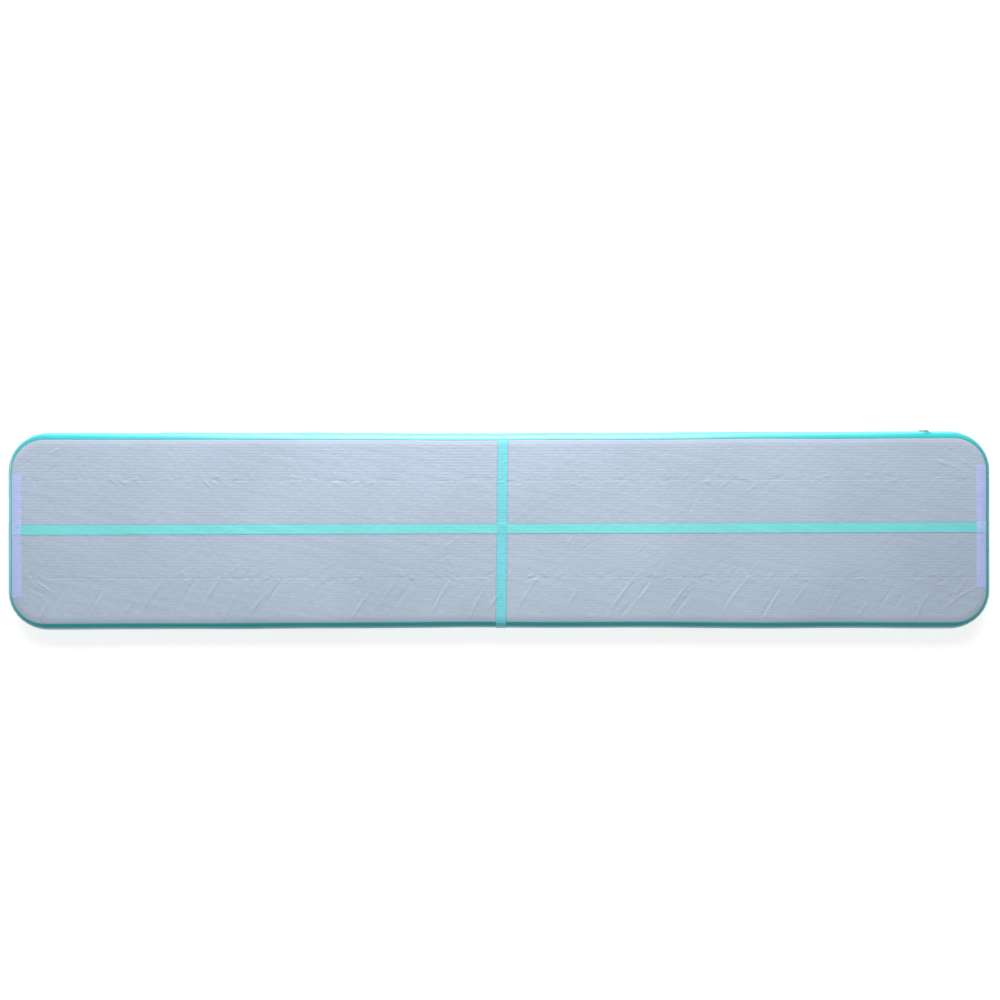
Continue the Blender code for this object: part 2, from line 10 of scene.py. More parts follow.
import bmesh
import bpy
import numpy as np
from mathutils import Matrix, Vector


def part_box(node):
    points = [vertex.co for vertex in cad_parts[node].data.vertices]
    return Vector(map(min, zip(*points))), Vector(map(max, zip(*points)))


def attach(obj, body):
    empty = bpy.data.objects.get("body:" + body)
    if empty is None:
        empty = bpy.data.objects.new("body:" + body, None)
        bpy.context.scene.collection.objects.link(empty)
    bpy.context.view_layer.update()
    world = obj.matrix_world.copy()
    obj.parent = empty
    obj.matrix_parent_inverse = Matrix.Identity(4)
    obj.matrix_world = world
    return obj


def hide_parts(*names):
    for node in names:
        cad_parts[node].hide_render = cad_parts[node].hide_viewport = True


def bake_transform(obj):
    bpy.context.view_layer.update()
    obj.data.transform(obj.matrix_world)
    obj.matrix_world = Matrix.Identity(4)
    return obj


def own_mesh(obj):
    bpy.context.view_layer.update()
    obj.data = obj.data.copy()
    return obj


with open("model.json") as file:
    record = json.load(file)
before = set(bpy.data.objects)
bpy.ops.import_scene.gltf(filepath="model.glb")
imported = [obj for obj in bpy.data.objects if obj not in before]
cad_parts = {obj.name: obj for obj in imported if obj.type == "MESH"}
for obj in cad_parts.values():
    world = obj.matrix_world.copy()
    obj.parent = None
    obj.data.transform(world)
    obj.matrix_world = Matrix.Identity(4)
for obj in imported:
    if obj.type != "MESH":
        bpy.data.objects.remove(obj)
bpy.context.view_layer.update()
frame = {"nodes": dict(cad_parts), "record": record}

# ----------------------------------------------------------
# Sizes, in metres
# ----------------------------------------------------------
HALF_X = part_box("side_wall_back")[1].x
HALF_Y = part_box("side_wall_back")[1].y
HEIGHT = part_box("top_sheet")[1].z
BULGE = HEIGHT / 2
FLAT_X = HALF_X - BULGE
FLAT_Y = HALF_Y - BULGE
FLAT_CORNER = 0.15

TAPE_FROM = math.radians(12.5)
TAPE_TO = math.radians(48)
SKIN_ANGLE = math.radians(15)
SKIN_REACH = BULGE * math.sin(SKIN_ANGLE)
SKIN = 0.0009
LIFT = 0.00035
TAPE = 0.0008
FILM = 0.00045

SHARP = math.radians(50)

RIB_PITCH = 0.015
RIBS_SAMPLES = 4
RIB_HEIGHT = 0.00042
CREASES = (0.258, -0.238)
CREASE_HEIGHT = 0.00045
CREASE_WIDTH = 0.0042
SWELL_HEIGHT = 0.0004
UNEVEN_HEIGHT = 0.000045
WRINKLE_BEND = 0.5
CROWN = 0.0020
CROWN_WIDTH = 0.034
WAIST_DEPTH = 0.0130
WAIST_REACH = 1.08

STRIPE_LOW, STRIPE_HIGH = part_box("centre_stripe")
CROSS_LOW, CROSS_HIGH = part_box("cross_stripe")
CENTRE_SLANT = 0.0014
CROSS_SLANT = 0.0125
CROSS_SHIFT = 0.0032
# Distances from each stripe's middle over which painted shade darkens the top skin along the stripe's edges.
EDGE_SHADE_FROM = 0.0265
EDGE_SHADE_TO = 0.0300

VALVE_LOW, VALVE_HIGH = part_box("valve_body")
VALVE_X = (VALVE_LOW.x + VALVE_HIGH.x) / 2
VALVE_Z = (VALVE_LOW.z + VALVE_HIGH.z) / 2
VALVE_FACE_Y = HALF_Y - 0.005
VALVE_FLAT = 0.031
VALVE_BLEND = 0.0415
VALVE_HOLE = 0.0203

rng = np.random.default_rng(7)


# ----------------------------------------------------------
# Camera, lights and floor
# ----------------------------------------------------------
CAMERA_HEIGHT = 3.60
CAMERA_BACK = 0.1555
CAMERA_RIGHT = 0.0055
CAMERA_LENS = 24.95
CAMERA_ROLL = math.radians(0.09)


def add_object(name, data):
    item = bpy.data.objects.new(name, data)
    bpy.context.scene.collection.objects.link(item)
    return item


def make_camera():
    data = bpy.data.cameras.new("camera")
    data.lens = CAMERA_LENS
    data.sensor_width = 36
    data.clip_end = 60
    camera = add_object("camera", data)
    camera.location = (CAMERA_RIGHT, CAMERA_BACK, CAMERA_HEIGHT)
    camera.rotation_euler = (0, 0, -CAMERA_ROLL)
    bpy.context.scene.camera = camera


def area_light(name, place, target, size, power):
    data = bpy.data.lights.new(name, "AREA")
    data.shape = "RECTANGLE"
    data.size, data.size_y = size
    data.energy = power
    light = add_object(name, data)
    light.location = place
    light.rotation_euler = (Vector(target) - Vector(place)).to_track_quat("-Z", "Y").to_euler()


def make_lights():
    """A long soft key and a low strip behind the mat, a low side light, a fill and a pale sky."""
    area_light("key", (-0.25, 4.8, 2.8), (0, 0, 0), (5.6, 3.2), 535)
    area_light("strip", (-0.2, 3.3, 0.30), (-0.2, 0, 0.06), (6.5, 0.5), 110)
    area_light("side", (-6.5, 0.3, 0.7), (-1.0, 0, 0.05), (2.0, 0.8), 25)
    area_light("fill", (0, 0.2, 6.0), (0, 0, 0), (7.0, 4.0), 44)
    world = bpy.data.worlds.new("studio")
    world.use_nodes = True
    sky = world.node_tree.nodes["Background"]
    sky.inputs["Color"].default_value = (0.96, 0.98, 1.0, 1)
    sky.inputs["Strength"].default_value = 0.26
    bpy.context.scene.world = world
    bpy.context.scene.view_settings.view_transform = "Standard"


# ----------------------------------------------------------
# Node helpers and materials
# ----------------------------------------------------------
class Nodes:
    """Short calls for building a material's node tree, or for adding to one."""

    def __init__(self, name, material=None):
        self.material = material or bpy.data.materials.new(name)
        self.material.use_nodes = True
        self.tree = self.material.node_tree
        self.shader = self.tree.nodes["Principled BSDF"]
        self.place = self.node("TexCoord").outputs["Object"]

    def link(self, source, target):
        self.tree.links.new(source, target)

    def feed(self, socket, source):
        self.link(source, self.shader.inputs[socket])

    def node(self, kind, **sockets):
        node = self.tree.nodes.new("ShaderNode" + kind)
        for name, value in sockets.items():
            node.inputs[name.replace("_", " ")].default_value = value
        return node

    def noise(self, scale, detail=3.0, stretch=(1, 1, 1)):
        mapping = self.node("Mapping", Scale=stretch)
        self.link(self.place, mapping.inputs["Vector"])
        node = self.node("TexNoise", Scale=scale, Detail=detail)
        self.link(mapping.outputs["Vector"], node.inputs["Vector"])
        return node.outputs["Fac"]

    def wave(self, axis, scale, distortion=0.0):
        node = self.node("TexWave", Scale=scale, Distortion=distortion)
        node.wave_type = "BANDS"
        node.bands_direction = axis
        self.link(self.place, node.inputs["Vector"])
        return node.outputs["Fac"]

    def math(self, operation, first, second):
        node = self.node("Math")
        node.operation = operation
        for socket, value in zip(node.inputs, (first, second)):
            if isinstance(value, (int, float)):
                socket.default_value = value
            else:
                self.link(value, socket)
        return node.outputs[0]

    def spread(self, value, low, high, out_low=0.0, out_high=1.0):
        node = self.node("MapRange", From_Min=low, From_Max=high, To_Min=out_low, To_Max=out_high)
        self.link(value, node.inputs["Value"])
        return node.outputs["Result"]

    def mix(self, factor, first, second):
        node = self.node("Mix")
        node.data_type = "RGBA"
        for name, value in (("Factor", factor), ("A", first), ("B", second)):
            is_colour = name != "Factor"
            socket = next(s for s in node.inputs if s.name == name and (s.type == "RGBA") == is_colour)
            if isinstance(value, tuple):
                socket.default_value = (*value, 1.0)
            elif isinstance(value, float):
                socket.default_value = value
            else:
                self.link(value, socket)
        return next(s for s in node.outputs if s.type == "RGBA")

    def bump(self, height, strength, distance):
        node = self.node("Bump", Strength=strength, Distance=distance)
        self.link(height, node.inputs["Height"])
        self.feed("Normal", node.outputs["Normal"])

    def values(self, **sockets):
        for name, value in sockets.items():
            self.shader.inputs[name.replace("_", " ")].default_value = value
        return self


def pvc(name, colour, roughness, weave=0.35, wear=0.5, coat=0.0):
    """Coated PVC cloth: a faint woven grain, slight mottling, scuffs and uneven gloss."""
    n = Nodes(name)
    deep = tuple(c * 0.93 for c in colour)
    pale = tuple(min(1.0, c * 1.05 + 0.012) for c in colour)
    mottle = n.spread(n.noise(2.2, 4.0), 0.35, 0.65)
    base = n.mix(mottle, deep, colour)
    speck = n.spread(n.noise(60.0, 3.0, (0.5, 1.0, 1.0)), 0.55, 0.75, 0.0, 0.5 * wear)
    base = n.mix(speck, base, pale)
    n.feed("Base Color", base)
    gloss = n.noise(9.0, 5.0, (0.35, 1.0, 1.0))
    n.feed("Roughness", n.spread(gloss, 0.3, 0.7, roughness - 0.06, roughness + 0.08))
    threads = n.math("MULTIPLY", n.wave("X", 160.0), n.wave("Y", 160.0))
    grain = n.math("ADD", threads, n.math("MULTIPLY", n.noise(420.0, 2.0), 0.6))
    n.bump(grain, weave, 0.00025)
    n.values(Specular_IOR_Level=0.5, Coat_Weight=coat, Coat_Roughness=0.32)
    return n.material


def add_painted_edge_shade(material):
    """Painted shade: darkens the top skin in a thin line along both edges of each stripe."""
    n = Nodes(material.name, material)
    split = n.node("SeparateXYZ")
    n.link(n.place, split.inputs["Vector"])
    x, y = split.outputs["X"], split.outputs["Y"]
    stripes = (
        (y, x, CENTRE_SLANT, (STRIPE_LOW.y + STRIPE_HIGH.y) / 2),
        (x, y, CROSS_SLANT, (CROSS_LOW.x + CROSS_HIGH.x) / 2 + CROSS_SHIFT),
    )
    lines = []
    for across, along, slant, start in stripes:
        middle = n.math("ADD", n.math("MULTIPLY", along, slant), start)
        away = n.math("ABSOLUTE", n.math("SUBTRACT", across, middle), 0.0)
        lines.append(n.spread(away, EDGE_SHADE_FROM, EDGE_SHADE_TO, 1.0, 0.0))
    line = n.math("MAXIMUM", *lines)
    base = n.shader.inputs["Base Color"].links[0].from_socket
    # Painted shade: the skin's colour is taken half way towards a deep blue-grey along the stripe edges.
    dark = n.mix(n.math("MULTIPLY", line, 0.5), base, (0.16, 0.26, 0.32))
    n.feed("Base Color", dark)


def hook_film(name, colour, alpha):
    """Clear moulded hook tape: milky film with rows of tiny hooks, and a faint painted blue glow."""
    n = Nodes(name)
    rows = n.math("MULTIPLY", n.wave("X", 105.0), n.wave("Y", 105.0))
    haze = n.spread(n.noise(14.0, 4.0), 0.3, 0.7)
    deep, pale = tuple(c * 0.95 for c in colour), tuple(min(1, c * 1.03) for c in colour)
    n.feed("Base Color", n.mix(haze, deep, pale))
    n.feed("Roughness", n.spread(n.noise(30.0), 0.3, 0.7, 0.32, 0.5))
    n.bump(rows, 0.5, 0.0006)
    # Painted light: the emission makes the film glow faintly blue, lighter and bluer than its lighting gives.
    n.values(Alpha=alpha, Specular_IOR_Level=0.5, Emission_Color=(0.15, 0.22, 1.0, 1), Emission_Strength=0.15)
    return n.material


def woven(name, colour):
    """Polyester webbing: ribs along the strap crossed by fine diagonal yarns."""
    n = Nodes(name)
    ribs = n.wave("Z", 150.0)
    yarns = n.wave("DIAGONAL", 220.0, 1.0)
    weave = n.math("ADD", n.math("MULTIPLY", ribs, 0.7), n.math("MULTIPLY", yarns, 0.5))
    fuzz = n.spread(n.noise(300.0, 3.0), 0.35, 0.7)
    worn = tuple(min(1.0, c * 1.8 + 0.03) for c in colour)
    n.feed("Base Color", n.mix(n.math("MULTIPLY", fuzz, weave), colour, worn))
    n.feed("Roughness", n.spread(weave, 0.0, 1.2, 0.95, 0.7))
    n.bump(weave, 0.7, 0.0005)
    n.values(Sheen_Weight=0.25, Sheen_Roughness=0.4)
    return n.material


def moulded(name, colour, roughness, metallic=0.0, grain=0.2):
    """Moulded plastic, rubber or plain metal, with a fine grain and rubbed patches."""
    n = Nodes(name)
    rubbed = n.spread(n.noise(55.0, 4.0), 0.45, 0.75)
    pale = tuple(min(1.0, c * 1.25 + 0.01) for c in colour)
    n.feed("Base Color", n.mix(rubbed, colour, pale))
    n.feed("Roughness", n.spread(n.noise(90.0, 3.0), 0.3, 0.7, roughness - 0.05, roughness + 0.1))
    n.bump(n.noise(900.0, 2.0), grain, 0.0001)
    n.values(Metallic=metallic)
    return n.material


def floor_material():
    n = Nodes("studio_floor")
    n.feed("Base Color", n.mix(n.noise(0.6, 2.0), (0.50, 0.50, 0.50), (0.53, 0.53, 0.53)))
    n.values(Roughness=0.9, Specular_IOR_Level=0.1, Emission_Color=(1, 1, 1, 1), Emission_Strength=0.72)
    return n.material


def make_materials():
    made = {
        "skin_top": pvc("skin_top", (0.435, 0.515, 0.625), 0.5),
        "skin_bottom": pvc("skin_bottom", (0.40, 0.47, 0.57), 0.6),
        "wall": pvc("wall", (0.020, 0.42, 0.45), 0.34, weave=0.2, coat=0.8),
        "stripe": pvc("stripe", (0.208, 0.715, 0.73), 0.42, weave=0.25),
        "cross": pvc("cross", (0.180, 0.655, 0.725), 0.42, weave=0.25),
        "hook_tape": hook_film("hook_tape", (0.68, 0.76, 1.0), 0.35),
        "webbing": woven("webbing", (0.012, 0.013, 0.016)),
        "thread": moulded("thread", (0.30, 0.31, 0.33), 0.8),
        "inner": moulded("wall_inner", (0.72, 0.72, 0.70), 0.7),
        "yarn": woven("yarn", (0.82, 0.82, 0.80)),
        "valve_plastic": moulded("valve_plastic", (0.50, 0.52, 0.53), 0.38),
        "button_plastic": moulded("button_plastic", (0.75, 0.75, 0.73), 0.4),
        "seal_rubber": moulded("seal_rubber", (0.02, 0.02, 0.02), 0.75),
        "tether_rubber": moulded("tether_rubber", (0.03, 0.033, 0.038), 0.6),
        "steel": moulded("steel", (0.62, 0.61, 0.59), 0.28, 1.0, 0.1),
    }
    # Painted shade along the stripes' edges on the top skin.
    add_painted_edge_shade(made["skin_top"])
    return made


# ----------------------------------------------------------
# The mat's surface
# ----------------------------------------------------------
def ease(value):
    value = np.clip(value, 0.0, 1.0)
    return value * value * (3 - 2 * value)


def make_waves(count, low, high):
    """A smooth random function of one variable, from sines with wavelengths from low to high."""
    waves = [(math.tau / rng.uniform(low, high), rng.uniform(0, math.tau)) for _ in range(count)]
    return lambda x: sum(np.sin(k * x + p) for k, p in waves) / math.sqrt(count)


def make_ridges(count, x_range, y_range, turn, length, width, height):
    """Random ridges: each is a centre, a direction, a half length, a half width and a height."""
    return [
        (
            rng.uniform(*x_range),
            rng.uniform(*y_range),
            math.radians(rng.uniform(*turn)),
            rng.uniform(*length),
            rng.uniform(*width),
            rng.uniform(*height),
        )
        for _ in range(count)
    ]


EDGE_DRIFT = make_waves(3, 0.7, 1.3)
CREASE_DRIFT = make_waves(4, 0.25, 1.2)
CREASE_DEPTH = make_waves(4, 0.08, 0.4)
SLOW_X = make_waves(4, 0.5, 1.6)
SLOW_Y = make_waves(3, 0.3, 0.7)


def all_ridges():
    """Wrinkles: long slanting ones along the front, short ones behind, crinkles along the creases."""
    ridges = []
    for x in np.arange(-2.28, 2.35, 0.19):
        part = (x - 0.08, x + 0.08), (-0.41, -0.29), (52, 66), (0.05, 0.11), (0.0052, 0.0064)
        slack = 1.05 - 0.24 * x
        ridges += make_ridges(1, *part, (0.0008 * slack, 0.0017 * slack))
        if rng.random() < 0.6:
            ridges += make_ridges(1, *part, (-0.0016 * slack, -0.0009 * slack))
    wide, short, height = (-2.2, 2.2), ((0.02, 0.05), (0.0050, 0.007)), (-0.0009, 0.0010)
    ridges += make_ridges(30, wide, (0.06, 0.24), (35, 70), *short, height)
    ridges += make_ridges(24, wide, (-0.22, -0.04), (25, 60), *short, height)
    part = (-2.3, 2.3), (0.28, 0.42), (30, 75), (0.03, 0.06), (0.005, 0.008)
    ridges += make_ridges(16, *part, (-0.0006, 0.0006))
    for y in CREASES:
        part = (-2.38, 2.38), (y - 0.020, y + 0.020), (-70, 70), (0.008, 0.022), (0.0048, 0.006)
        ridges += make_ridges(240, *part, (-0.0010, 0.0010))
    for sx in (-1, 1):
        for sy in (-1, 1):
            place = (sx * 2.30 - 0.08, sx * 2.30 + 0.08), (sy * 0.34 - 0.07, sy * 0.34 + 0.07)
            slant = (20, 50) if sx * sy < 0 else (-50, -20)
            ridges += make_ridges(5, *place, slant, (0.03, 0.07), (0.0052, 0.0064), (-0.0011, 0.0013))
    return ridges


RIDGES = all_ridges()
UNEVEN = [
    (math.tau / rng.uniform(0.022, 0.085), rng.uniform(0, math.pi), rng.uniform(0, math.tau))
    for _ in range(16)
]


def unevenness(x, y):
    """Slight unevenness of the cloth between the ribs, in every direction."""
    return sum(np.sin(k * (x * math.cos(a) + y * math.sin(a)) + p) for k, a, p in UNEVEN)


def waist(x):
    """How the mat's width varies along it: drawn in at the middle, and slightly wavy."""
    near_valve = np.exp(-(((x - VALVE_X) / 0.25) ** 2))
    drawn_in = 0.0015 + WAIST_DEPTH * np.exp(-((x / WAIST_REACH) ** 2)) - 0.0022 * EDGE_DRIFT(x)
    return 1 - drawn_in * (1 - near_valve)


def outside(x, y):
    """Distance from the flat top's rounded outline, negative inside it."""
    qx = np.abs(x) - (FLAT_X - FLAT_CORNER)
    qy = np.abs(y) - (FLAT_Y - FLAT_CORNER)
    far = np.hypot(np.maximum(qx, 0), np.maximum(qy, 0))
    return far + np.minimum(np.maximum(qx, qy), 0) - FLAT_CORNER


def relief(x, y, ribs=1.0):
    """Height of the skin over the flat top: ribs, folds and wrinkles."""
    inner = ease(-outside(x, y) / 0.02)
    rib = np.abs(np.sin(math.pi * y / RIB_PITCH)) ** 0.8 - 1.0
    height = RIB_HEIGHT * ribs * rib * (0.35 + 0.65 * inner) * (0.75 + 0.6 * y)
    height = height + CROWN * ease((SKIN_REACH - outside(x, y)) / CROWN_WIDTH)
    height = height + SWELL_HEIGHT * SLOW_X(x) * SLOW_Y(y) * inner + UNEVEN_HEIGHT * unevenness(x, y) * inner
    for place in CREASES:
        away = y - place - 0.0020 * CREASE_DRIFT(x)
        depth = CREASE_HEIGHT * (0.7 + 0.45 * CREASE_DEPTH(x))
        height = height - depth * np.exp(-((away / CREASE_WIDTH) ** 2)) * inner
    for x0, y0, turn, length, width, top in RIDGES:
        reach = 2.6 * length
        near = (np.abs(x - x0) < reach) & (np.abs(y - y0) < reach)
        if near.any():
            dx, dy = x[near] - x0, y[near] - y0
            along = dx * math.cos(turn) + dy * math.sin(turn)
            across = dy * math.cos(turn) - dx * math.sin(turn) + WRINKLE_BEND * along**2
            height[near] += top * np.exp(-((along / length) ** 2) - (across / width) ** 2) * inner[near]
    return height


def shaped(points):
    """Draws the mat in at its waist."""
    points = np.array(points)
    points[..., 1] *= waist(points[..., 0])
    return points


def top_surface(x, y, lift=0.0, ribs=1.0, low=False):
    """Points on the mat's upper surface over plan positions, lifted off it; low gives the underside."""
    x, y = np.broadcast_arrays(np.asarray(x, float), np.asarray(y, float))
    off = np.maximum(outside(x, y), 0)
    over = np.minimum(off / BULGE, 1.0)
    fall = BULGE * (1 - np.sqrt(1 - over**2))
    z = HEIGHT - fall + relief(x, y, ribs) + lift
    if low:
        z = HEIGHT - z
    return shaped(np.stack([x, y, z], -1))


def rim_length():
    return 4 * (FLAT_X + FLAT_Y - 2 * FLAT_CORNER) + math.tau * FLAT_CORNER


def rim(s):
    """Points and outward normals on the flat outline, s metres anticlockwise from its right end's middle."""
    s = np.asarray(s, float) % rim_length()
    long, short, arc = 2 * (FLAT_X - FLAT_CORNER), 2 * (FLAT_Y - FLAT_CORNER), math.pi / 2 * FLAT_CORNER
    place, normal = np.zeros((*s.shape, 2)), np.zeros((*s.shape, 2))
    stretches = (
        (short / 2, (FLAT_X, 0), (0, 1)),
        (arc, (FLAT_X - FLAT_CORNER, FLAT_Y - FLAT_CORNER), 0),
        (long, (FLAT_X - FLAT_CORNER, FLAT_Y), (-1, 0)),
        (arc, (-FLAT_X + FLAT_CORNER, FLAT_Y - FLAT_CORNER), 90),
        (short, (-FLAT_X, FLAT_Y - FLAT_CORNER), (0, -1)),
        (arc, (-FLAT_X + FLAT_CORNER, -FLAT_Y + FLAT_CORNER), 180),
        (long, (-FLAT_X + FLAT_CORNER, -FLAT_Y), (1, 0)),
        (arc, (FLAT_X - FLAT_CORNER, -FLAT_Y + FLAT_CORNER), 270),
        (short / 2, (FLAT_X, -FLAT_Y + FLAT_CORNER), (0, 1)),
    )
    begin = 0.0
    for length, origin, heading in stretches:
        on = (s >= begin) & (s <= begin + length + 1e-9)
        t = s[on] - begin
        if isinstance(heading, tuple):
            place[on] = np.array(origin) + t[:, None] * np.array(heading)
            normal[on] = (heading[1], -heading[0])
        else:
            turn = math.radians(heading) + t / FLAT_CORNER
            normal[on] = np.stack([np.cos(turn), np.sin(turn)], -1)
            place[on] = np.array(origin) + FLAT_CORNER * normal[on]
        begin += length
    return place, normal


PUCKERS = make_waves(5, 0.016, 0.034)
WALL_DRIFT = make_waves(4, 0.25, 0.9)


def wall_surface(s, angle, lift=0.0):
    """Points on the bulged side wall; angle is from straight up, pi/2 being the widest line."""
    s, angle = np.broadcast_arrays(np.asarray(s, float), np.asarray(angle, float))
    place, normal = rim(s)
    bend = np.abs(normal[..., 0] * normal[..., 1]) * 2
    near_seam = sum(np.exp(-((away / 0.30) ** 2)) for away in (angle - TAPE_TO, math.pi - TAPE_TO - angle))
    rough = 0.0007 * PUCKERS(s) * bend * near_seam + 0.0005 * WALL_DRIFT(s) * np.sin(angle) ** 2
    radius = BULGE + lift + rough
    out = radius * np.sin(angle)
    up = BULGE + radius * np.cos(angle)
    points = np.stack([place[..., 0] + normal[..., 0] * out, place[..., 1] + normal[..., 1] * out, up], -1)
    back = normal[..., 1] > 0.99
    away = np.hypot(points[..., 0] - VALVE_X, BULGE * np.cos(angle))
    share = ease((VALVE_BLEND - away) / (VALVE_BLEND - VALVE_FLAT)) * back
    drop = VALVE_FACE_Y + lift * np.sin(angle) - points[..., 1]
    points[..., 1] += drop * share
    points = shaped(points)
    points[..., 2] = np.maximum(points[..., 2], 0.0)
    return points


def s_at(x, side):
    """The outline distance of a place on the back (side 1) or front (side -1) long edge."""
    corner = FLAT_Y - FLAT_CORNER + math.pi / 2 * FLAT_CORNER
    along = corner + (FLAT_X - FLAT_CORNER - np.asarray(x, float))
    return along if side > 0 else rim_length() - along


# ----------------------------------------------------------
# Meshes from grids
# ----------------------------------------------------------
def bm_mesh(bm, name):
    mesh = bpy.data.meshes.new(name)
    bm.to_mesh(mesh)
    bm.free()
    return mesh


def grid_faces(rows, columns, start=0, wrap=False, flip=False):
    """Quads of a grid of points stored row by row; wrap joins the last column to the first."""
    across = columns if wrap else columns - 1
    i, j = np.meshgrid(np.arange(rows - 1), np.arange(across), indexing="ij")
    right, low, high = (j + 1) % columns, i * columns, (i + 1) * columns
    quads = np.stack([low + j, low + right, high + right, high + j], -1)
    quads = quads.reshape(-1, 4) + start
    return quads[:, ::-1] if flip else quads


def new_mesh(name, points, faces, mat):
    """faces is a list of arrays of polygons, each array with one number of corners."""
    mesh = bpy.data.meshes.new(name)
    mesh.vertices.add(len(points))
    mesh.vertices.foreach_set("co", np.asarray(points, np.float32).ravel())
    corners = np.concatenate([f.ravel() for f in faces])
    sizes = np.concatenate([np.full(len(f), f.shape[1]) for f in faces])
    mesh.loops.add(len(corners))
    mesh.loops.foreach_set("vertex_index", corners.astype(np.int32))
    mesh.polygons.add(len(sizes))
    mesh.polygons.foreach_set("loop_start", (np.cumsum(sizes) - sizes).astype(np.int32))
    mesh.update(calc_edges=True)
    mesh.validate()
    mesh.materials.append(mat)
    mesh.shade_smooth()
    mesh.set_sharp_from_angle(angle=SHARP)
    return add_object(name, mesh)


def face_outwards(item, merge=0.0):
    """Turns the faces outwards, after merging points closer than a distance."""
    bm = bmesh.new()
    bm.from_mesh(item.data)
    if merge:
        bmesh.ops.remove_doubles(bm, verts=bm.verts, dist=merge)
    bmesh.ops.recalc_face_normals(bm, faces=bm.faces)
    bm.to_mesh(item.data)
    bm.free()
    return item


def border(rows, columns):
    """Indices of a grid's border, once round."""
    top = np.arange(columns)
    right = np.arange(1, rows) * columns + columns - 1
    bottom = (rows - 1) * columns + np.arange(columns - 2, -1, -1)
    left = np.arange(rows - 2, 0, -1) * columns
    return np.concatenate([top, right, bottom, left])


def slab(name, outer, inner, mat, wrap=False):
    """A closed thin piece from two matching grids of points, rows by columns by 3."""
    rows, columns = outer.shape[:2]
    count = rows * columns
    points = np.concatenate([outer.reshape(-1, 3), inner.reshape(-1, 3)])
    faces = [grid_faces(rows, columns, 0, wrap), grid_faces(rows, columns, count, wrap, flip=True)]
    if wrap:
        for row, turned in ((0, True), (rows - 1, False)):
            a = row * columns + np.arange(columns)
            b = row * columns + (np.arange(columns) + 1) % columns
            quads = np.stack([a, b, b + count, a + count], -1)
            faces.append(quads[:, ::-1] if turned else quads)
    else:
        edge = border(rows, columns)
        after = np.roll(edge, -1)
        faces.append(np.stack([edge, edge + count, after + count, after], -1))
    return face_outwards(new_mesh(name, points, faces, mat))


def finish_piece(item, body, slot, *nodes):
    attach(item, body)
    if nodes:
        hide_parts(*nodes)
    return item


def half_width_at(y, grow):
    """Half the length, along X, of the flat outline grown by some metres, at a place across it."""
    radius = FLAT_CORNER + grow
    into = np.clip(np.abs(y) - (FLAT_Y - FLAT_CORNER), 0, radius)
    return FLAT_X - FLAT_CORNER + np.sqrt(np.maximum(radius**2 - into**2, 0))


# ----------------------------------------------------------
# Skins, walls, tapes and stripes
# ----------------------------------------------------------
END_ZONE = 0.016
LAP_MIDDLE = 0.011
LAP_HALF = 0.030
LAP_EASE = 0.004
SKIN_SPLIT = 0.75 * RIB_PITCH


def skin_rows(step):
    """Places across the mat: even rows on the flat, closing up towards the two long edges."""
    last = FLAT_Y + SKIN_REACH
    flat_rows = np.arange(0, FLAT_Y - 0.003, step)
    edge = last - (last - flat_rows[-1]) * np.linspace(1, 0, 9)[1:] ** 2
    half = np.concatenate([flat_rows, edge])
    return np.concatenate([-half[:0:-1], half])


def half_columns(count, y):
    """Places along the mat from its middle to its rounded end, one row for each y."""
    end = half_width_at(y, SKIN_REACH)[:, None]
    inner = (end - END_ZONE) * np.linspace(0, 1, count)[None, :]
    outer = end - END_ZONE * np.linspace(1, 0, 5)[None, 1:]
    return np.concatenate([inner, outer], 1)


def build_skin_quarter(side, face, mats):
    """A quarter of the ribbed top skin; the quarters meet under the two stripes."""
    rows = skin_rows(RIB_PITCH / RIBS_SAMPLES)
    y = rows[rows > SKIN_SPLIT - 1e-6] if face == "back" else rows[rows < SKIN_SPLIT + 1e-6]
    x = (1 if side == "right" else -1) * half_columns(560, y)
    top = top_surface(x, y[:, None])
    edge = border(*x.shape)
    under = top.reshape(-1, 3)[edge].copy()
    under[:, 2] = HEIGHT - 0.0027
    points = np.concatenate([top.reshape(-1, 3), under])
    low = x.size + np.arange(len(edge))
    sides = np.stack([edge, low, np.roll(low, -1), np.roll(edge, -1)], -1)
    faces = [grid_faces(*x.shape), sides, low[None, :]]
    skin = face_outwards(new_mesh(f"top_skin_{face}_{side}", points, faces, mats["skin_top"]))
    finish_piece(skin, "mat", "skin_top", "top_sheet")


def build_bottom_skin(mats):
    """The bottom skin, flat on the floor, with shallow ribs."""
    y = skin_rows(RIB_PITCH / 3)
    half = half_columns(80, y)
    x = np.concatenate([-half[:, :0:-1], half], 1)
    low = top_surface(x, y[:, None], 0.0, 0.7, low=True)
    low[..., 2] = np.maximum(low[..., 2], 0.0)
    high = low.copy()
    high[..., 2] += SKIN
    skin = slab("bottom_skin", low, high, mats["skin_bottom"])
    finish_piece(skin, "mat", "skin_bottom", "bottom_sheet")


WALL_FROM = math.radians(30)
WALL_ROWS = 27
INNER_LIFT = -0.0024


def wall_columns(low, high):
    """Outline distances from low to high, close together round the valve."""
    valve = float(s_at(VALVE_X, 1))
    places = [low]
    while places[-1] < high:
        near = abs(places[-1] - valve)
        places.append(places[-1] + (0.0025 if near < 0.05 else min(0.013, 0.0025 + (near - 0.05) * 0.25)))
    places[-1] = high
    return np.array(places)


def wall_slab(name, columns, angles, lift, thick, mat, wrap=False):
    outer = wall_surface(columns[None, :], angles[:, None], lift + thick)
    inner = wall_surface(columns[None, :], angles[:, None], lift)
    return slab(name, outer, inner, mat, wrap)


def cut_with(item, tool):
    """Cuts a tool out of a piece and throws the tool away."""
    cut = item.modifiers.new("cut", "BOOLEAN")
    cut.object = tool
    bpy.context.view_layer.update()
    made = bpy.data.meshes.new_from_object(item.evaluated_get(bpy.context.evaluated_depsgraph_get()))
    item.modifiers.clear()
    item.data = made
    made.set_sharp_from_angle(angle=SHARP)
    bpy.data.objects.remove(tool, do_unlink=True)


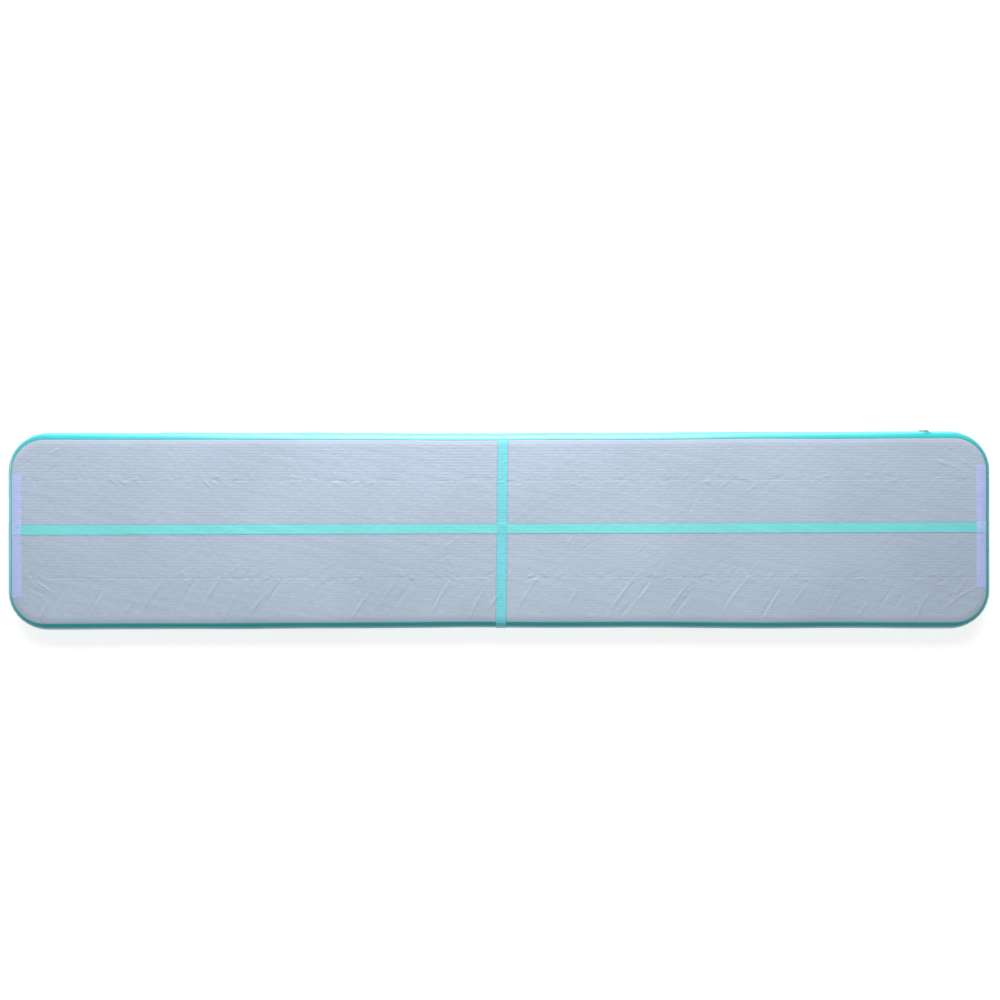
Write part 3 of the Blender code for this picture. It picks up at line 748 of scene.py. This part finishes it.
def cut_hole(item):
    """Cuts the valve's round hole."""
    bm = bmesh.new()
    bmesh.ops.create_cone(bm, cap_ends=True, segments=72, radius1=VALVE_HOLE, radius2=VALVE_HOLE, depth=0.06)
    turn = Vector((0, 0, 1)).rotation_difference(Vector((0, 1, 0))).to_matrix().to_4x4()
    bm.transform(turn)
    bmesh.ops.translate(bm, verts=bm.verts, vec=(VALVE_X, VALVE_FACE_Y, VALVE_Z))
    cut_with(item, add_object("hole", bm_mesh(bm, "hole")))


def build_walls(mats):
    """The side wall in two lengths that meet at the ends, its inner ply, and the patches over the joins."""
    half = rim_length() / 2
    angles = np.linspace(WALL_FROM, math.pi - WALL_FROM, WALL_ROWS)
    for name, low, high in (("back", 0.0, half), ("front", half, 2 * half)):
        columns = wall_columns(low, high)
        wall = wall_slab(f"side_wall_{name}_skin", columns, angles, -SKIN, SKIN, mats["wall"])
        inner = wall_slab(f"inner_ply_{name}", columns[::2], angles[::2], INNER_LIFT, SKIN, mats["inner"])
        if name == "back":
            cut_hole(wall)
            cut_hole(inner)
        finish_piece(wall, "mat", "wall", "side_wall_" + name)
        finish_piece(inner, "mat", "wall_inner", "inner_side_wall")
    for side, middle in (("right", 0.0), ("left", half)):
        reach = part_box("wall_joint_patch_" + side)[1].y
        columns = middle + np.linspace(-reach, reach, 25)
        patch_angles = np.linspace(math.radians(50), math.radians(130), 17)
        patch = wall_slab("wall_patch_" + side, columns, patch_angles, LIFT, TAPE, mats["wall"])
        finish_piece(patch, "mat", "wall", "wall_joint_patch_" + side)


def build_seam_tapes(mats):
    """The tapes welded round the mat over the seams between the skins and the wall."""
    columns = np.linspace(0, rim_length(), 1080, endpoint=False)
    reach = {"top": (TAPE_FROM, TAPE_TO), "bottom": (math.pi - TAPE_TO, math.pi - TAPE_FROM)}
    for name, ends in reach.items():
        tape = wall_slab(name + "_tape", columns, np.linspace(*ends, 11), LIFT, TAPE, mats["wall"], wrap=True)
        finish_piece(tape, "mat", "wall", name + "_seam_tape")


def strip_on_top(name, x, y, lift, thick, mat):
    """A thin strip on the top skin; x, y and lift are matching grids."""
    outer = top_surface(x, y, lift + thick)
    inner = top_surface(x, y, lift)
    return slab(name, outer, inner, mat)


def edge_rows(low, high, step, inset=0.0012):
    """Places from low to high on the rib sampling, with a pair close together at each edge."""
    first, last = math.ceil((low + inset) / step + 0.3), math.floor((high - inset) / step - 0.3)
    return np.concatenate([[low, low + inset], np.arange(first, last + 1) * step, [high - inset, high]])


def lap_share(y):
    """1 where a piece laps over the centre stripe, easing to 0 on both sides of it."""
    return ease((LAP_HALF - np.abs(y - LAP_MIDDLE)) / LAP_EASE)


def build_centre_stripe(mats):
    """Laid a little out of true: it rises towards the right end."""
    y0 = edge_rows(STRIPE_LOW.y, STRIPE_HIGH.y, RIB_PITCH / RIBS_SAMPLES)
    x0 = np.linspace(STRIPE_LOW.x, STRIPE_HIGH.x, 660)
    x, y = np.meshgrid(x0, y0)
    y = y + CENTRE_SLANT * x
    stripe = strip_on_top("centre_stripe_film", x, y, LIFT, FILM, mats["stripe"])
    finish_piece(stripe, "mat", "stripe", "centre_stripe")


def build_cross_stripe(mats):
    """Laid across the centre stripe, from the back seam tape down the front wall."""
    tape_edge = FLAT_Y + BULGE * math.sin(TAPE_FROM) - 0.0010
    front = -(FLAT_Y + BULGE * math.sin(TAPE_FROM))
    x0 = np.linspace(CROSS_LOW.x, CROSS_HIGH.x, 13)
    y0 = edge_rows(front, tape_edge, RIB_PITCH / RIBS_SAMPLES)
    x, y = np.meshgrid(x0, y0)
    lift = LIFT + lap_share(y) * (FILM + 0.0004)
    x = x + CROSS_SLANT * y + CROSS_SHIFT
    top_out, top_in = top_surface(x, y, lift + FILM), top_surface(x, y, lift)
    low_angle = math.acos((CROSS_LOW.z - BULGE) / BULGE)
    angles = np.linspace(low_angle, TAPE_FROM, 26)[:-1]
    s = s_at(x[0], -1)
    rise = LIFT + (TAPE + LIFT) * ease((angles - TAPE_FROM) / math.radians(2.0))
    down_out = wall_surface(s[None, :], angles[:, None], (rise + FILM)[:, None])
    down_in = wall_surface(s[None, :], angles[:, None], rise[:, None])
    outer = np.concatenate([down_out, top_out])
    inner = np.concatenate([down_in, top_in])
    stripe = slab("cross_stripe_film", outer, inner, mats["cross"])
    finish_piece(stripe, "mat", "stripe", "cross_stripe")


def build_hook_tapes(mats):
    """Clear moulded hook tape across both ends, over the ends of the centre stripe."""
    for side, slant in (("left", 0.004), ("right", -0.003)):
        low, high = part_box("hook_tape_" + side)
        inner = np.linspace(low.x + 0.004, high.x - 0.004, 12)
        x0 = np.concatenate([[low.x, low.x + 0.001], inner, [high.x - 0.001, high.x]])
        y0 = edge_rows(low.y, high.y, RIB_PITCH / RIBS_SAMPLES)
        x, y = np.meshgrid(x0, y0)
        y = y + slant * (x - (low.x + high.x) / 2) / 0.025 * ease((0.03 - (y - low.y)) / 0.03)
        lift = LIFT + 0.0002 + lap_share(y) * (FILM + 0.0003)
        tape = strip_on_top("hook_tape_" + side + "_film", x, y, lift, 0.0007, mats["hook_tape"])
        finish_piece(tape, "mat", "hook_tape", "hook_tape_" + side)


# ----------------------------------------------------------
# Handles
# ----------------------------------------------------------
HANDLE_ANGLE = math.radians(90 + 24)
STRAP_HALF_ANGLE = math.radians(14)
PATCH_HALF_ANGLE = math.radians(17)
PATCH_CORNER = 0.012
PATCH_LOW, PATCH_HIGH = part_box("handle_back_left_patch_inner")
PATCH_LENGTH = PATCH_HIGH.x - PATCH_LOW.x
SEWN_SHORT = 0.012
WEBBING = 0.0015
STITCH = 0.0004
STITCH_PITCH = 0.0042


def rounded_share(u, v, half_u, half_v, radius):
    """Pulls a rectangle's grid in at its corners, so that they come out round; returns the new v."""
    into = np.maximum(np.abs(u) - (half_u - radius), 0)
    room = half_v - radius + np.sqrt(np.maximum(radius**2 - into**2, 0))
    return v * room / half_v


def wall_patch_piece(name, side, x_low, x_high, mat):
    """A patch with rounded corners, lying on the long wall on one side of the mat."""
    middle, half = (x_low + x_high) / 2, (x_high - x_low) / 2
    u = half * np.sin(np.linspace(-math.pi / 2, math.pi / 2, 33))
    v = PATCH_HALF_ANGLE * np.sin(np.linspace(-math.pi / 2, math.pi / 2, 21))
    u, v = np.meshgrid(u, v)
    v = rounded_share(u, v * BULGE, half, PATCH_HALF_ANGLE * BULGE, PATCH_CORNER) / BULGE
    s = s_at(middle + u, side)
    outer = wall_surface(s, HANDLE_ANGLE + v, LIFT + TAPE)
    inner = wall_surface(s, HANDLE_ANGLE + v, LIFT)
    return slab(name, outer, inner, mat)


def strap_point(x, v, side, lift, bow):
    """Points on a strap's surface: along X, across by angle v, with its middle standing off the wall."""
    points = wall_surface(s_at(x, side), HANDLE_ANGLE + v, lift)
    points[..., 1] += side * bow
    return points


def build_strap_half(label, side, sewn, middle, mats):
    """Half of a webbing strap, from its sewn end to its middle, with rolled selvedges and a woven rib."""
    x = sewn + (middle - sewn) * np.linspace(0, 1, 61)
    across = np.linspace(-1, 1, 25)
    x, w = np.meshgrid(x, across)
    free = abs(middle - sewn) - PATCH_LENGTH + SEWN_SHORT
    share = ease((np.abs(x - sewn) - PATCH_LENGTH + SEWN_SHORT) / free)
    bow = 0.0016 * share
    ribs = 0.00012 * np.cos(w * math.pi * 7)
    thick = WEBBING * (1 - 0.55 * np.abs(w) ** 8) + ribs
    width = STRAP_HALF_ANGLE * (1 - 0.10 * share)
    low = 2 * LIFT + TAPE
    outer = strap_point(x, w * width, side, low + thick, bow)
    inner = strap_point(x, w * width, side, low, bow)
    name = f"{label}_webbing_{'left' if sewn < middle else 'right'}"
    strap = slab(name, outer, inner, mats["webbing"])
    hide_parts(f"{label}_strap")
    at_sewn = strap_point(np.array([sewn + (middle - sewn) * 0.22]), np.array([0.0]), side, low, 0.0)[0]
    at_middle = strap_point(np.array([middle]), np.array([0.0]), side, low, 0.0)[0]
    at_middle[1:] = at_sewn[1:]
    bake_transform(strap)


def stitch_path(x_low, x_high, half):
    """A box with a cross in it, as (x, v) corners in sewing order."""
    a, b, c, d = (x_low, -half), (x_high, -half), (x_high, half), (x_low, half)
    return [a, b, c, d, a, c, d, b]


def build_stitches(label, end, side, x_low, x_high, mats):
    """Box and cross stitching through a strap's end, each stitch a short raised thread."""
    bm = bmesh.new()
    corners = stitch_path(x_low, x_high, STRAP_HALF_ANGLE * 0.72)
    lift = 2 * LIFT + TAPE + WEBBING + 0.0001
    for (x0, v0), (x1, v1) in zip(corners, corners[1:]):
        length = math.hypot(x1 - x0, (v1 - v0) * BULGE)
        count = max(3, round(length / STITCH_PITCH))
        for k in range(count):
            first, last = (k + 0.12) / count, (k + 0.88) / count
            t = np.array([first, (first + last) / 2, last])
            line = strap_point(x0 + (x1 - x0) * t, v0 + (v1 - v0) * t, side, lift, 0.0)
            add_thread(bm, [Vector(p) for p in line], STITCH)
    mesh = bm_mesh(bm, f"{label}_stitches_{end}")
    mesh.materials.append(mats["thread"])
    mesh.shade_smooth()
    finish_piece(add_object(mesh.name, mesh), "mat", "webbing")


def add_thread(bm, line, radius, sides=6):
    """A short thread along three points, thick in the middle and pointed at its ends."""
    along = (line[2] - line[0]).normalized()
    out = along.orthogonal().normalized()
    other = along.cross(out)
    turns = [math.tau * k / sides for k in range(sides)]
    spokes = [out * math.cos(a) + other * math.sin(a) for a in turns]
    rings = []
    for t, share in ((0.12, 0.75), (0.5, 1.0), (0.88, 0.75)):
        centre = line[0].lerp(line[2], t)
        rings.append([bm.verts.new(centre + spoke * radius * share) for spoke in spokes])
    for first, second in zip(rings, rings[1:]):
        for k in range(sides):
            bm.faces.new((first[k], first[(k + 1) % sides], second[(k + 1) % sides], second[k]))
    for ring, tip, turned in ((rings[0], line[0], True), (rings[2], line[2], False)):
        point = bm.verts.new(tip)
        for k in range(sides):
            corners = (ring[k], ring[(k + 1) % sides], point)
            bm.faces.new(corners[::-1] if turned else corners)


def build_handles(mats):
    for side_name, side in (("front", -1), ("back", 1)):
        for end_name in ("left", "right"):
            label = f"handle_{side_name}_{end_name}"
            for which in ("inner", "outer"):
                node = f"{label}_patch_{which}"
                low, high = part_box(node)
                patch = wall_patch_piece(f"{label}_tab_{which}", side, low.x, high.x, mats["wall"])
                finish_piece(patch, "mat", "wall", node)
            low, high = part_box(f"{label}_strap")
            middle = (low.x + high.x) / 2
            build_strap_half(label, side, low.x, middle, mats)
            build_strap_half(label, side, high.x, middle, mats)
            sewn = PATCH_LENGTH - 0.022
            build_stitches(label, "left", side, low.x + 0.006, low.x + sewn, mats)
            build_stitches(label, "right", side, high.x - sewn, high.x - 0.006, mats)


# ----------------------------------------------------------
# Valve: turned pieces about an axis that points straight out of the back wall
# ----------------------------------------------------------
VALVE_AXIS = np.array([VALVE_X, VALVE_FACE_Y, VALVE_Z])
FLANGE_RADIUS = (VALVE_HIGH.x - VALVE_LOW.x) / 2
FLANGE_TOP = VALVE_HIGH.y - VALVE_FACE_Y
BARREL_LOW = VALVE_LOW.y - VALVE_FACE_Y
FLANGE_LOW = 0.0018
BARREL_RADIUS = 0.0200
MOUTH_RADIUS = 0.0165
SEAT_RADIUS = 0.0125
SEAT_TOP = -0.0155
HUB_TOP = -0.0125
HUB_RADIUS = 0.0060
HUB_BORE = 0.0031
SPRING_WIRE = 0.0003
SPRING_TURNS = 4
BUTTON_RADIUS = 0.0055
BUTTON_TOP = 0.0035
BUTTON_LOW = -0.0022
CAP_RADIUS = 0.0215
CAP_TOP = 0.0085
CAP_LOW = 0.0064
SKIRT_OUTER = 0.0160
SKIRT_INNER = 0.0135
SKIRT_LOW = -0.0060
GRIP_TOP = 0.0115
GRIP_HALF = (0.017, 0.003)
TETHER_INNER = 0.0243
TETHER_OUTER = 0.0275
TETHER_LOW = 0.0063
TETHER_HIGH = 0.0078
TETHER_REACH = math.radians(60)
VALVE_SHARP = math.radians(35)


def on_valve(r, turn, z):
    """World places from the valve's radius, turn and height out of the wall."""
    r, turn, z = np.broadcast_arrays(r, turn, z)
    return VALVE_AXIS + np.stack([r * np.cos(turn), z, -r * np.sin(turn)], -1)


def rounded(profile, radius, steps=3):
    """Rounds the corners of a closed profile of (radius, height) points, leaving those on the axis."""
    out = []
    count = len(profile)
    for k, corner in enumerate(profile):
        before, here, after = (Vector(profile[(k + d) % count]) for d in (-1, 0, 1))
        if corner[0] == 0:
            out.append(tuple(corner))
            continue
        into, away = before - here, after - here
        cut = min(radius, into.length * 0.45, away.length * 0.45)
        start, stop = here + into.normalized() * cut, here + away.normalized() * cut
        for t in np.linspace(0, 1, steps + 1):
            out.append(tuple(start * (1 - t) ** 2 + here * 2 * t * (1 - t) + stop * t**2))
    return out


def turned(name, profile, mat, radius=0.0004, sides=120, grip=None):
    """A piece turned from a closed profile; grip is (count, depth, from radius) for ribs round its rim."""
    points = np.array(rounded(profile, radius))
    turns = np.linspace(0, math.tau, sides, endpoint=False)
    r = np.repeat(points[:, :1], sides, 1)
    if grip:
        count, depth, start = grip
        r = r - depth * (r > start) * (0.5 - 0.5 * np.cos(turns * count)) ** 2
    grid = on_valve(r, turns[None, :], points[:, 1:])
    grid = np.concatenate([grid, grid[:1]])
    item = new_mesh(name, grid.reshape(-1, 3), [grid_faces(len(grid), sides, 0, True)], mat)
    face_outwards(item, 0.000004)
    item.data.set_sharp_from_angle(angle=VALVE_SHARP)
    return item


def add_block(item, half, centre, turn=0.0, edge=0.0006, taper=1.0):
    """Adds a block with rounded edges to a valve piece, standing on the valve's face at a turn."""
    bm = bmesh.new()
    bmesh.ops.create_cube(bm, size=2.0)
    for v in bm.verts:
        share = taper if v.co.z > 0 else 1.0
        v.co = Vector((v.co.x * half[0], v.co.y * half[1] * share, v.co.z * half[2]))
    bmesh.ops.bevel(bm, geom=bm.edges[:], offset=edge, segments=4, profile=0.5, affect="EDGES")
    for v in bm.verts:
        x, y, z = v.co.x + centre[0], v.co.y, v.co.z + centre[1]
        v.co = on_valve(math.hypot(x, y), math.atan2(y, x) + turn, z)
    bmesh.ops.recalc_face_normals(bm, faces=bm.faces)
    bm.from_mesh(item.data)
    bm.to_mesh(item.data)
    bm.free()
    item.data.shade_smooth()
    item.data.set_sharp_from_angle(angle=VALVE_SHARP)


def tube_mesh(name, grid, mat):
    """A closed tube from rings of points, rows by points in a ring by 3."""
    rows, columns = grid.shape[:2]
    caps = [np.arange(columns)[None, ::-1], (rows - 1) * columns + np.arange(columns)[None, :]]
    faces = [grid_faces(rows, columns, 0, True), *caps]
    return face_outwards(new_mesh(name, grid.reshape(-1, 3), faces, mat))


def ring(inner, outer, low, high):
    return [(outer, high), (outer, low), (inner, low), (inner, high)]


def ring_of(node, inner):
    """A ring's profile from its node's box and its inner radius."""
    low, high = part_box(node)
    return ring(inner, (high.x - low.x) / 2, low.y - VALVE_FACE_Y, high.y - VALVE_FACE_Y)


def build_valve_body(mats):
    profile = [
        (FLANGE_RADIUS, FLANGE_TOP - 0.0010),
        (FLANGE_RADIUS, FLANGE_LOW),
        (BARREL_RADIUS, FLANGE_LOW),
        (BARREL_RADIUS, BARREL_LOW),
        (SEAT_RADIUS, BARREL_LOW),
        (SEAT_RADIUS, SEAT_TOP),
        (MOUTH_RADIUS, SEAT_TOP),
        (MOUTH_RADIUS, FLANGE_TOP),
        (FLANGE_RADIUS - 0.0010, FLANGE_TOP),
    ]
    body = turned("valve_housing", profile, mats["valve_plastic"], grip=(24, 0.0006, FLANGE_RADIUS - 0.0011))
    hub = turned("hub", ring(HUB_BORE, HUB_RADIUS, SEAT_TOP, HUB_TOP), mats["valve_plastic"])
    bm = bmesh.new()
    bm.from_mesh(body.data)
    bm.from_mesh(hub.data)
    bm.to_mesh(body.data)
    bm.free()
    bpy.data.objects.remove(hub, do_unlink=True)
    middle, length = (MOUTH_RADIUS + HUB_RADIUS) / 2, MOUTH_RADIUS - HUB_RADIUS + 0.0012
    half = (length / 2, 0.0012, (HUB_TOP - SEAT_TOP) / 2)
    for k in range(3):
        add_block(body, half, (middle, (HUB_TOP + SEAT_TOP) / 2), math.radians(120 * k + 60), 0.0004)
    finish_piece(body, "mat", "valve_plastic", "valve_body")
    gasket = turned("valve_gasket_ring", ring_of("valve_gasket", BARREL_RADIUS + 0.0006), mats["seal_rubber"])
    finish_piece(gasket, "mat", "seal_rubber", "valve_gasket")


def build_valve_button(mats):
    """The button on the stem's end, with a slot that shows which way it is turned."""
    profile = [
        (0.0, BUTTON_TOP),
        (BUTTON_RADIUS, BUTTON_TOP),
        (BUTTON_RADIUS, BUTTON_LOW),
        (HUB_BORE, BUTTON_LOW),
        (HUB_BORE, 0.0004),
        (0.0, 0.0004),
    ]
    button = turned("valve_button_head", profile, mats["button_plastic"], 0.0008, 72)
    slot = new_mesh("slot", np.zeros((0, 3)), [np.zeros((0, 4), int)], mats["button_plastic"])
    add_block(slot, (0.02, 0.0008, 0.001), (0.0, BUTTON_TOP), 0.0, 0.0002)
    cut_with(button, slot)
    finish_piece(button, "stem", "button_plastic", "valve_button")


def build_valve_spring(mats):
    """The coil under the button, closed at both ends."""
    low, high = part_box("valve_spring")
    wire, radius = SPRING_WIRE, (high.x - low.x) / 2 - SPRING_WIRE
    share = np.linspace(0, 1, SPRING_TURNS * 36 + 1)[:, None]
    first, last = low.y - VALVE_FACE_Y + wire, high.y - VALVE_FACE_Y - wire
    rise = first + (last - first) * (share - 0.10 * np.sin(math.tau * share))
    around = np.linspace(0, math.tau, 12, endpoint=False)[None, :]
    turn = SPRING_TURNS * math.tau * share
    grid = on_valve(radius + wire * np.cos(around), turn, rise + wire * np.sin(around))
    coil = tube_mesh("valve_spring_coil", grid, mats["steel"])
    finish_piece(coil, "mat", "steel", "valve_spring")
    tuple(on_valve(0, 0, HUB_TOP))
    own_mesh(coil)


def build_valve_cap(mats):
    """The cap: a ribbed plate with a skirt below it and a bar across it to turn it by."""
    profile = [
        (0.0, CAP_TOP),
        (CAP_RADIUS - 0.0055, CAP_TOP),
        (CAP_RADIUS - 0.0050, CAP_TOP - 0.0005),
        (CAP_RADIUS, CAP_TOP - 0.0005),
        (CAP_RADIUS, CAP_LOW),
        (SKIRT_OUTER, CAP_LOW),
        (SKIRT_OUTER, SKIRT_LOW),
        (SKIRT_INNER, SKIRT_LOW),
        (SKIRT_INNER, CAP_LOW - 0.0002),
        (0.0, CAP_LOW - 0.0002),
    ]
    grip = (48, 0.0005, CAP_RADIUS - 0.001)
    cap = turned("valve_cap_moulding", profile, mats["valve_plastic"], 0.0004, 288, grip)
    rise = GRIP_TOP - CAP_TOP + 0.001
    half = (*GRIP_HALF, rise / 2)
    add_block(cap, half, (0.0, GRIP_TOP - rise / 2), 0.0, 0.0011, 0.72)
    finish_piece(cap, "cap", "valve_plastic", "valve_cap")
    seal = turned("valve_cap_seal_ring", ring_of("valve_cap_seal", 0.0166), mats["seal_rubber"], 0.0005)
    finish_piece(seal, "cap", "seal_rubber", "valve_cap_seal")


def build_tether(mats):
    """The ring on the valve's rim, the ring round the cap and the curved strap between them."""
    lower = turned("tether_rim_ring", ring_of("tether_ring", 0.0220), mats["tether_rubber"])
    finish_piece(lower, "tether", "tether_rubber", "tether_ring")
    upper = turned("cap_carrier_ring", ring_of("cap_swivel_ring", 0.0218), mats["tether_rubber"])
    finish_piece(upper, "cap_carrier", "tether_rubber", "cap_swivel_ring")
    turns = math.pi / 2 + TETHER_REACH * np.linspace(1, -1, 73)
    share = np.linspace(0, 1, 73)
    low = TETHER_LOW - 0.0005 * (share < 0.08)
    inner = TETHER_INNER - 0.0006 * (share > 0.92)
    section = np.array(rounded([(1, 1), (1, 0), (0, 0), (0, 1)], 0.28, 4))
    r = inner[:, None] + section[None, :, 0] * (TETHER_OUTER - inner)[:, None]
    z = low[:, None] + section[None, :, 1] * (TETHER_HIGH - low)[:, None]
    grid = on_valve(r, turns[:, None], z)
    strap = tube_mesh("tether_band", grid, mats["tether_rubber"])
    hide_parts("tether_strap")
    start = on_valve(TETHER_OUTER, turns[10], TETHER_LOW)
    stop = on_valve(TETHER_OUTER, turns[-11], TETHER_LOW)
    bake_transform(strap)


def build_valve(mats):
    build_valve_body(mats)
    build_valve_button(mats)
    build_valve_spring(mats)
    build_valve_cap(mats)
    build_tether(mats)


def build_floor():
    bm = bmesh.new()
    bmesh.ops.create_grid(bm, x_segments=4, y_segments=4, size=30)
    mesh = bm_mesh(bm, "floor")
    mesh.materials.append(floor_material())
    floor = add_object("floor", mesh)
    floor.location.z = -0.0006


def finish_inner_nodes(mats):
    """Materials for the CAD nodes that stay: the yarn rows and the valve's inner pieces."""
    slots = {part["node"]: part["material_slot"] for part in frame["record"]["subparts"]}
    names = {"wall_inner": "inner"}
    for name, item in frame["nodes"].items():
        if item.hide_render:
            continue
        item.data.materials.clear()
        item.data.materials.append(mats[names.get(slots[name], slots[name])])


def build_all():
    make_camera()
    make_lights()
    build_floor()
    mats = make_materials()
    for side in ("left", "right"):
        for face in ("front", "back"):
            build_skin_quarter(side, face, mats)
    build_bottom_skin(mats)
    build_walls(mats)
    build_seam_tapes(mats)
    build_centre_stripe(mats)
    build_cross_stripe(mats)
    build_hook_tapes(mats)
    build_handles(mats)
    build_valve(mats)
    finish_inner_nodes(mats)


build_all()
